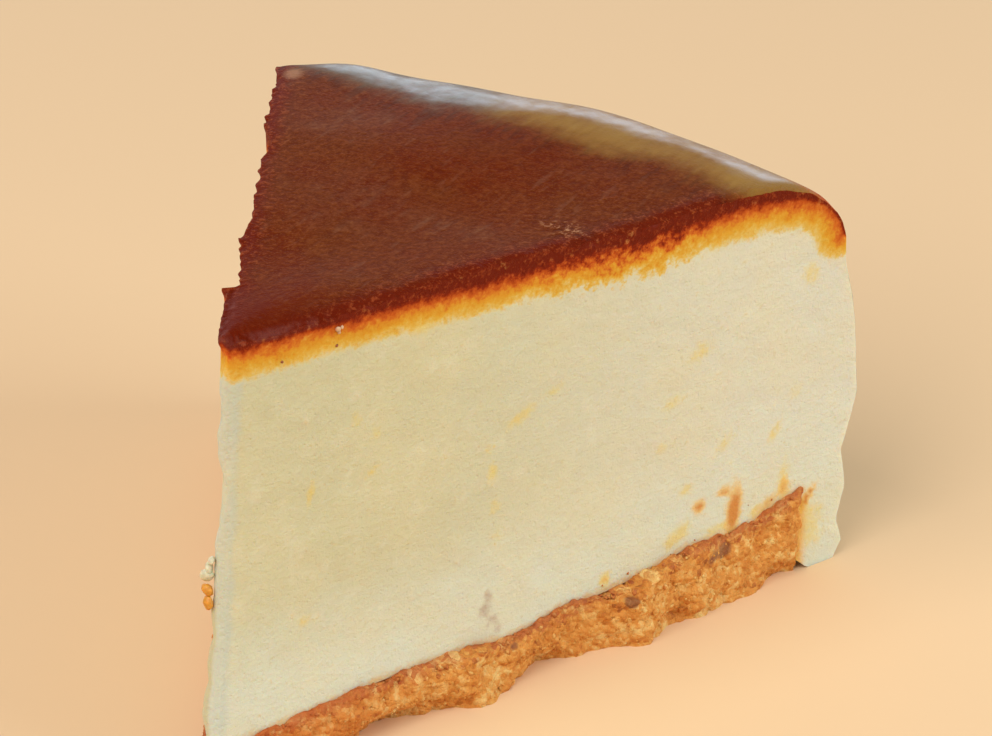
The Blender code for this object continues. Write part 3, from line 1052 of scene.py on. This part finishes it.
# %% [markdown]
# ## Bending the grid
# The heights are worked out twice: first to look up the relief, and again where the relief has moved
# each line, so that the top stays where it should. Every corner then carries its marks to the finish.

# %% Places of the filling's corners
share = across_share(across, ACROSS_CELLS)
side = np.where(share < 0, -1, 1)
nominal = cream_lines[line]
height = cream_height(nominal, share * HALF_ANGLE)
relief = cream_relief(nominal, height, side)
reach, turned = moved_out(nominal, share, relief)
height = cream_height(reach, turned)
wall = SEAM_GAP * ((line == BASE_LINE) & (level <= SKIRT_LEVELS))
out = wall + side_stands_out(turned, height) * ease(nominal, BASE_RADIUS, CAKE_RADIUS)
reach, turned = moved_out(nominal + out, share, relief)
points = at(reach, turned, height) + worn_tip(nominal, share, height)
print("filling from", np.round(points.min(axis=0), 1), "to", np.round(points.max(axis=0), 1), "mm")

# %% Filling
outer = ((level == SKIRT_LEVELS + CREAM_LEVELS) | (line == len(cream_lines) - 1)).astype(float)
inside = 1 - outer
degrees = np.degrees(turned)
marks = {
    "bake": browning(nominal, height, turned),
    "outer": outer,
    "along": nominal,
    "edge": nominal * np.sin(np.maximum(HALF_ANGLE - np.abs(turned), 0)),
    "turn": degrees,
    "from_base": np.hypot(
        np.maximum(nominal - BASE_RADIUS, 0), np.maximum(height - seam_height(nominal, turned), 0)
    ),
    "yolk": ovals(nominal, height, side, YOLK_FLECKS) * inside,
    "smear": ovals(nominal, height, side, BROWN_SMEARS) * inside,
    "bruise": ovals(nominal, height, side, BRUISES) * inside,
    "haze": spots_on_top(nominal, turned, PAINTED_SHEEN_SPOTS) * outer,
    "past_white": nominal - np.interp(degrees, BAND_TURNS, WHITE_FROM),
    "past_gold": nominal - np.interp(degrees, BAND_TURNS, GOLD_REFLECTION_FROM),
    "pale_corner": spots_on_top(nominal, turned, CORNER_HIGHLIGHT_SPOT) * outer,
    "rough_patch": spots_on_top(nominal, turned, ROUGH_GLINT_PATCH) * outer,
}
filling = new_piece("filling_body", points, cream_faces, marks, filling_finish, 60)
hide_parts("filling")
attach(filling, "root")

# %% [markdown]
# ## The crumb base's finish
# Ground biscuit bound with butter: every grain has its own tone, from pale oat to dark caramel.
# Where the filling has soaked in, near the seam, the grains are redder and darker. The mesh carries
# each pebble's random number as `grain`, and small cells and noise do the finer grains.

# %% Crumb finish
GRAIN_WIDTH = 0.75


def crumb_finish():
    """Biscuit: a tone for each grain, redder under the filling, rough and porous."""
    finish, wire, shader = new_finish(
        "pressed_crumb",
        {
            "Subsurface Weight": 0.1,
            "Subsurface Radius": (1.0, 0.4, 0.15),
            "Subsurface Scale": 0.001,
            "Specular IOR Level": 0.25,
        },
    )
    small = wire.noise(0.8, 3, 0.6)
    cells = wire.grains(GRAIN_WIDTH, "Color")
    mixed = wire.mark("grain") * 0.35 + cells * 0.35 + small * 0.4 + (wire.noise(6, 2) - 0.5) * 0.5
    colour = mixed.ramp(
        [
            (0.15, tone(150, 78, 34)),
            (0.38, tone(204, 126, 50)),
            (0.60, tone(220, 150, 70)),
            (0.85, tone(234, 190, 116)),
        ]
    )
    soaking_and_painted_reflection = (wire.mark("under_seam") + (small - 0.5) * 3 + (cells - 0.5) * 2).between(2.9, 0.2)
    near_tip = wire.mark("along").between(40, 8)
    burnt = (wire.mark("burnt") + (small - 0.5) * 0.5).between(0.25, 0.6)
    colour = painted(
        colour,
        (soaking_and_painted_reflection * 0.75, tone(178, 94, 52)),
        (near_tip * 0.4, tone(188, 82, 22)),
        (burnt * 0.8, tone(128, 72, 46)),
    )
    height = 0.35 * small + 0.15 * wire.noise(0.35, 2) - 0.3 * wire.grains(GRAIN_WIDTH)
    plug(shader, Base_Color=colour, Roughness=0.85 - 0.2 * small, Normal=relief_bump(wire, height))
    return finish


base_finish = crumb_finish()
print("crumb finish:", base_finish.name)

# %% [markdown]
# ## The crumb base's surface
# The base is the same kind of shell, with pebbles in its cuts. Its top is closed against the filling
# and is moved in ragged grains along the cuts, so that no straight slit shows between the layers.

# %% Crumb base
BASE_CELLS = (188, 40, 26)
BURNT_SPOTS = (
    (64.6, 7.0, 0.9, 0.8, 0, 1.0),
    (82.0, 8.3, 1.4, 1.0, 25, 0.9),
    (79.7, 8.3, 1.3, 0.7, 20, 0.7),
    (46.0, 6.0, 0.7, 0.5, 0, 0.7),
)
SEAM_EDGE = 2.5

(line, across, level), base_faces = shell(np.ones(BASE_CELLS, dtype=bool))
share_out = line / BASE_CELLS[0]
share = across_share(across, BASE_CELLS[1])
angle = share * HALF_ANGLE
side = np.where(share < 0, -1, 1)
raised = level / BASE_CELLS[2]
print("base grid:", len(line), "corners")


def ragged_seam(along, angle):
    """The seam, moved by coarse and fine pebbles within SEAM_EDGE of the cuts."""
    crest = ease(np.abs(angle), HALF_ANGLE - SEAM_EDGE / np.maximum(along, 6), HALF_ANGLE)
    coarse = pebbles(along, SIDE_SHIFT * np.sign(angle), 0, 2.4, 5)[0] - 0.65
    fine_grains = pebbles(along * np.cos(angle), along * np.sin(angle), 0, 1.1, 9)[0] - 0.4
    return seam_height(along, angle) + crest * (coarse + 0.8 * fine_grains)


along = BLUNT_TIP + (BASE_RADIUS + SEAM_GAP - BLUNT_TIP) * share_out
height = ragged_seam(along, angle) * raised
relief = crumb_relief(along, height, side)
reach, turned = moved_out(along, share, relief)
height = ragged_seam(reach, turned) * raised
marks = {
    "grain": pebbles(along, SIDE_SHIFT * side, height, 1.6, 6)[1],
    "along": along,
    "under_seam": seam_height(reach, turned) - height + np.maximum(relief * np.abs(share), 0),
    "burnt": ovals(along, height, side, BURNT_SPOTS),
}
base = new_piece("crumb_layer", at(reach, turned, height), base_faces, marks, base_finish, 60)
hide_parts("crumb_base")
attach(base, "root")

# %% [markdown]
# ## Loose crumbs
# Crumbs break off the base and stick to the cuts, most of them near the seam, and a few were
# dragged up the cream. They are real grains, joined into one mesh with the base's finish: a ball
# with twenty faces is squashed, turned and dented at random for each, all of them at once in arrays.
# Each group adds something to its depth under the seam, as the base's own mark adds its relief,
# because crumbs that stand out are less soaked and so less red.

# %% Grains
GOLDEN = (1 + math.sqrt(5)) / 2


def ball():
    """The twelve corners and twenty faces of an icosahedron with a radius of one."""
    corners = []
    for a in (-1, 1):
        for b in (-GOLDEN, GOLDEN):
            corners += [(0, a, b), (a, b, 0), (b, 0, a)]
    corners = np.array(corners) / math.hypot(1, GOLDEN)
    near = np.linalg.norm(corners[:, None] - corners[None], axis=-1) < 1.1
    i, j, k = np.meshgrid(*[np.arange(12)] * 3, indexing="ij")
    faces = np.argwhere((i < j) & (j < k) & near[i, j] & near[j, k] & near[i, k])
    a, b, c = (corners[faces[:, n]] for n in range(3))
    inward = np.sum(np.cross(b - a, c - a) * (a + b + c), axis=-1) < 0
    faces[inward] = faces[inward][:, ::-1]
    return corners, faces


def grains_at(places, sizes, seed, shape, dented=0.24):
    """Points and faces of one dented ball at each place, with its random number for every corner.

    A size is a radius, or three of them, for x, y and z.
    """
    rng = np.random.default_rng(seed)
    corners, faces = shape
    count = len(places)
    turns = np.linalg.qr(rng.normal(size=(count, 3, 3)))[0]
    turns *= np.sign(np.linalg.det(turns))[:, None, None]
    squash = rng.uniform(0.6, 1.15, (count, 1, 3))
    dents = rng.uniform(1 - dented, 1 + dented, (count, len(corners), 1))
    sizes = np.reshape(sizes, (count, 1, -1))
    shapes = np.einsum("nij,nvj->nvi", turns, corners * squash * dents) * sizes
    points = (shapes + places[:, None]).reshape(-1, 3)
    all_faces = (faces[None] + len(corners) * np.arange(count)[:, None, None]).reshape(-1, 3)
    return points, all_faces, np.repeat(rng.random(count), len(corners))


def on_cut(along, height, side, relief):
    """Points on a cut face at those distances from the tip and heights, moved out by the relief."""
    reach, turned = moved_out(along, side, relief)
    return at(reach, turned, height)


print("one grain:", len(ball()[0]), "corners,", len(ball()[1]), "faces")

# %% Places of the crumbs
CRUMBS_ON_BASE = 1500
CRUMBS_AT_SEAM = 700
CRUMBS_DRAGGED = 16
TONE_DEPTH = 0.8

rng = np.random.default_rng(12)
side = rng.choice([-1, 1], CRUMBS_ON_BASE)
along = rng.uniform(2.5, 94, CRUMBS_ON_BASE)
height = seam_height(along, side * HALF_ANGLE) * rng.uniform(0.06, 1.0, CRUMBS_ON_BASE)
size = 0.17 + 0.4 * rng.random(CRUMBS_ON_BASE) ** 2
relief = crumb_relief(along, height, side) - 0.5 * size
on_base = (side, along, height, size, relief, np.full(CRUMBS_ON_BASE, TONE_DEPTH))

side = rng.choice([-1, 1], CRUMBS_AT_SEAM)
along = rng.uniform(2.5, 94.5, CRUMBS_AT_SEAM)
size = 0.13 + 0.3 * rng.random(CRUMBS_AT_SEAM) ** 2
height = seam_height(along, side * HALF_ANGLE) - 0.3 * size
relief = crumb_relief(along, height, side) * rng.uniform(0.0, 1.0, CRUMBS_AT_SEAM)
at_seam = (side, along, height, size, relief, relief)

side = rng.choice([-1, -1, 1], CRUMBS_DRAGGED)
along = rng.uniform(58, 95, CRUMBS_DRAGGED)
height = seam_height(along, side * HALF_ANGLE) + rng.exponential(1.6, CRUMBS_DRAGGED)
size = 0.1 + 0.15 * rng.random(CRUMBS_DRAGGED)
dragged = (side, along, height, size, cream_relief(along, height, side), np.zeros(CRUMBS_DRAGGED))

crumb_rows = zip(on_base, at_seam, dragged)
side, along, height, size, relief, deeper = (np.concatenate(row) for row in crumb_rows)
print("crumbs from", round(float(size.min()), 2), "to", round(float(size.max()), 2), "mm in radius")

# %% Loose crumbs
LOWEST = 0.02

places = on_cut(along, height, side, relief)
points, faces, number = grains_at(places, size, 5, ball())
points[:, 2] = np.maximum(points[:, 2], LOWEST)
corners_each = len(points) // len(places)
under_seam = seam_height(along, side * HALF_ANGLE) - height + deeper
marks = {
    "grain": number,
    "along": np.repeat(along, corners_each),
    "under_seam": np.repeat(under_seam, corners_each),
    "burnt": 0 * number,
}
crumbs = new_piece("loose_crumbs", points, faces, marks, base_finish)
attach(crumbs, "root")

# %% [markdown]
# ## Bits stuck to the cream
# A pale flake and two orange blobs hang on the tip's far edge, a little above the base, and two dark
# specks and a pale bit sit in the yellow band. They are the same dented balls, but rounder, with
# each face split in four, and each kind has a plain finish of its own.

# %% A plain finish and a rounder ball
def plain_finish(name, colour, roughness):
    """One tone that darkens by a quarter in places, with a fine grain."""
    settings = {"Roughness": roughness, "Subsurface Weight": 0.2, "Subsurface Scale": 0.001}
    finish, wire, shader = new_finish(name, settings)
    dark = tuple(0.75 * c for c in colour[:3]) + (1.0,)
    small = wire.noise(0.6, 2)
    base_colour = small.between(0.3, 0.7).blend(dark, colour)
    plug(shader, Base_Color=base_colour, Normal=relief_bump(wire, 0.15 * small))
    return finish


def rounder(corners, faces):
    """The same ball with each face split in four and the new corners pushed out to the ball."""
    pairs = np.sort(np.concatenate([faces[:, [0, 1]], faces[:, [1, 2]], faces[:, [2, 0]]]), axis=1)
    edges, number = np.unique(pairs, axis=0, return_inverse=True)
    middles = corners[edges].mean(axis=1)
    middles /= np.linalg.norm(middles, axis=1)[:, None]
    ab, bc, ca = number.reshape(3, -1) + len(corners)
    a, b, c = faces.T
    split = [(a, ab, ca), (ab, b, bc), (ca, bc, c), (ab, bc, ca)]
    return np.concatenate([corners, middles]), np.concatenate([np.stack(f, axis=1) for f in split])


STUCK_SHAPE = rounder(*ball())
print("a rounder ball:", len(STUCK_SHAPE[1]), "faces")

# %% Stuck bits
TIP_FLAKE = (
    (1.6, 30.9, (0.9, 0.95, 1.1), 1.4),
    (1.6, 32.0, (0.9, 0.6, 1.0), 1.15),
    (1.6, 33.0, (0.7, 0.45, 0.7), 0.9),
)
TIP_BLOBS = ((1.6, 29.0, (0.9, 0.95, 0.95), 1.2), (1.6, 27.3, (0.8, 0.85, 0.9), 1.0))
SPECKS = ((17.4, 58.3, 0.26, 0.0), (9.2, 58.5, 0.22, 0.0))
PALE_BIT = ((17.4, 60.6, 0.42, 0.1), (18.0, 60.7, 0.3, 0.1), (17.6, 60.1, 0.3, 0.1))
STUCK_DENTS = 0.08


def stuck(name, spots, side, finish, seed):
    """Grains at (distance, height, radius, stands out) spots on one cut, as a piece of their own."""
    along, height = np.array([spot[:2] for spot in spots]).T
    radius = np.array([np.broadcast_to(spot[2], 3) for spot in spots])
    place = on_cut(along, height, side, cream_relief(along, height, side))
    place[:, 1] += side * np.array([spot[3] for spot in spots])
    points, faces, _ = grains_at(place, radius, seed, STUCK_SHAPE, STUCK_DENTS)
    bit = new_piece(name, points, faces, {}, finish)
    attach(bit, "root")


stuck("tip_flake", TIP_FLAKE, 1, plain_finish("pale_cream", tone(222, 212, 176), 0.6), 3)
stuck("tip_blobs", TIP_BLOBS, 1, plain_finish("orange_crumb", tone(226, 152, 46), 0.5), 4)
stuck("dark_specks", SPECKS, -1, plain_finish("dark_speck", tone(150, 78, 30), 0.5), 6)
stuck("pale_bit", PALE_BIT, -1, plain_finish("pale_crumb", tone(216, 176, 136), 0.6), 8)

# %% [markdown]
# ## Sizes
# The finished model has to fill the solid model's box, so its size is printed at the end.

# %% Finish
low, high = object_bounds()
print("visual model, mm:", [round(1000 * (b - a), 1) for a, b in zip(low, high)])
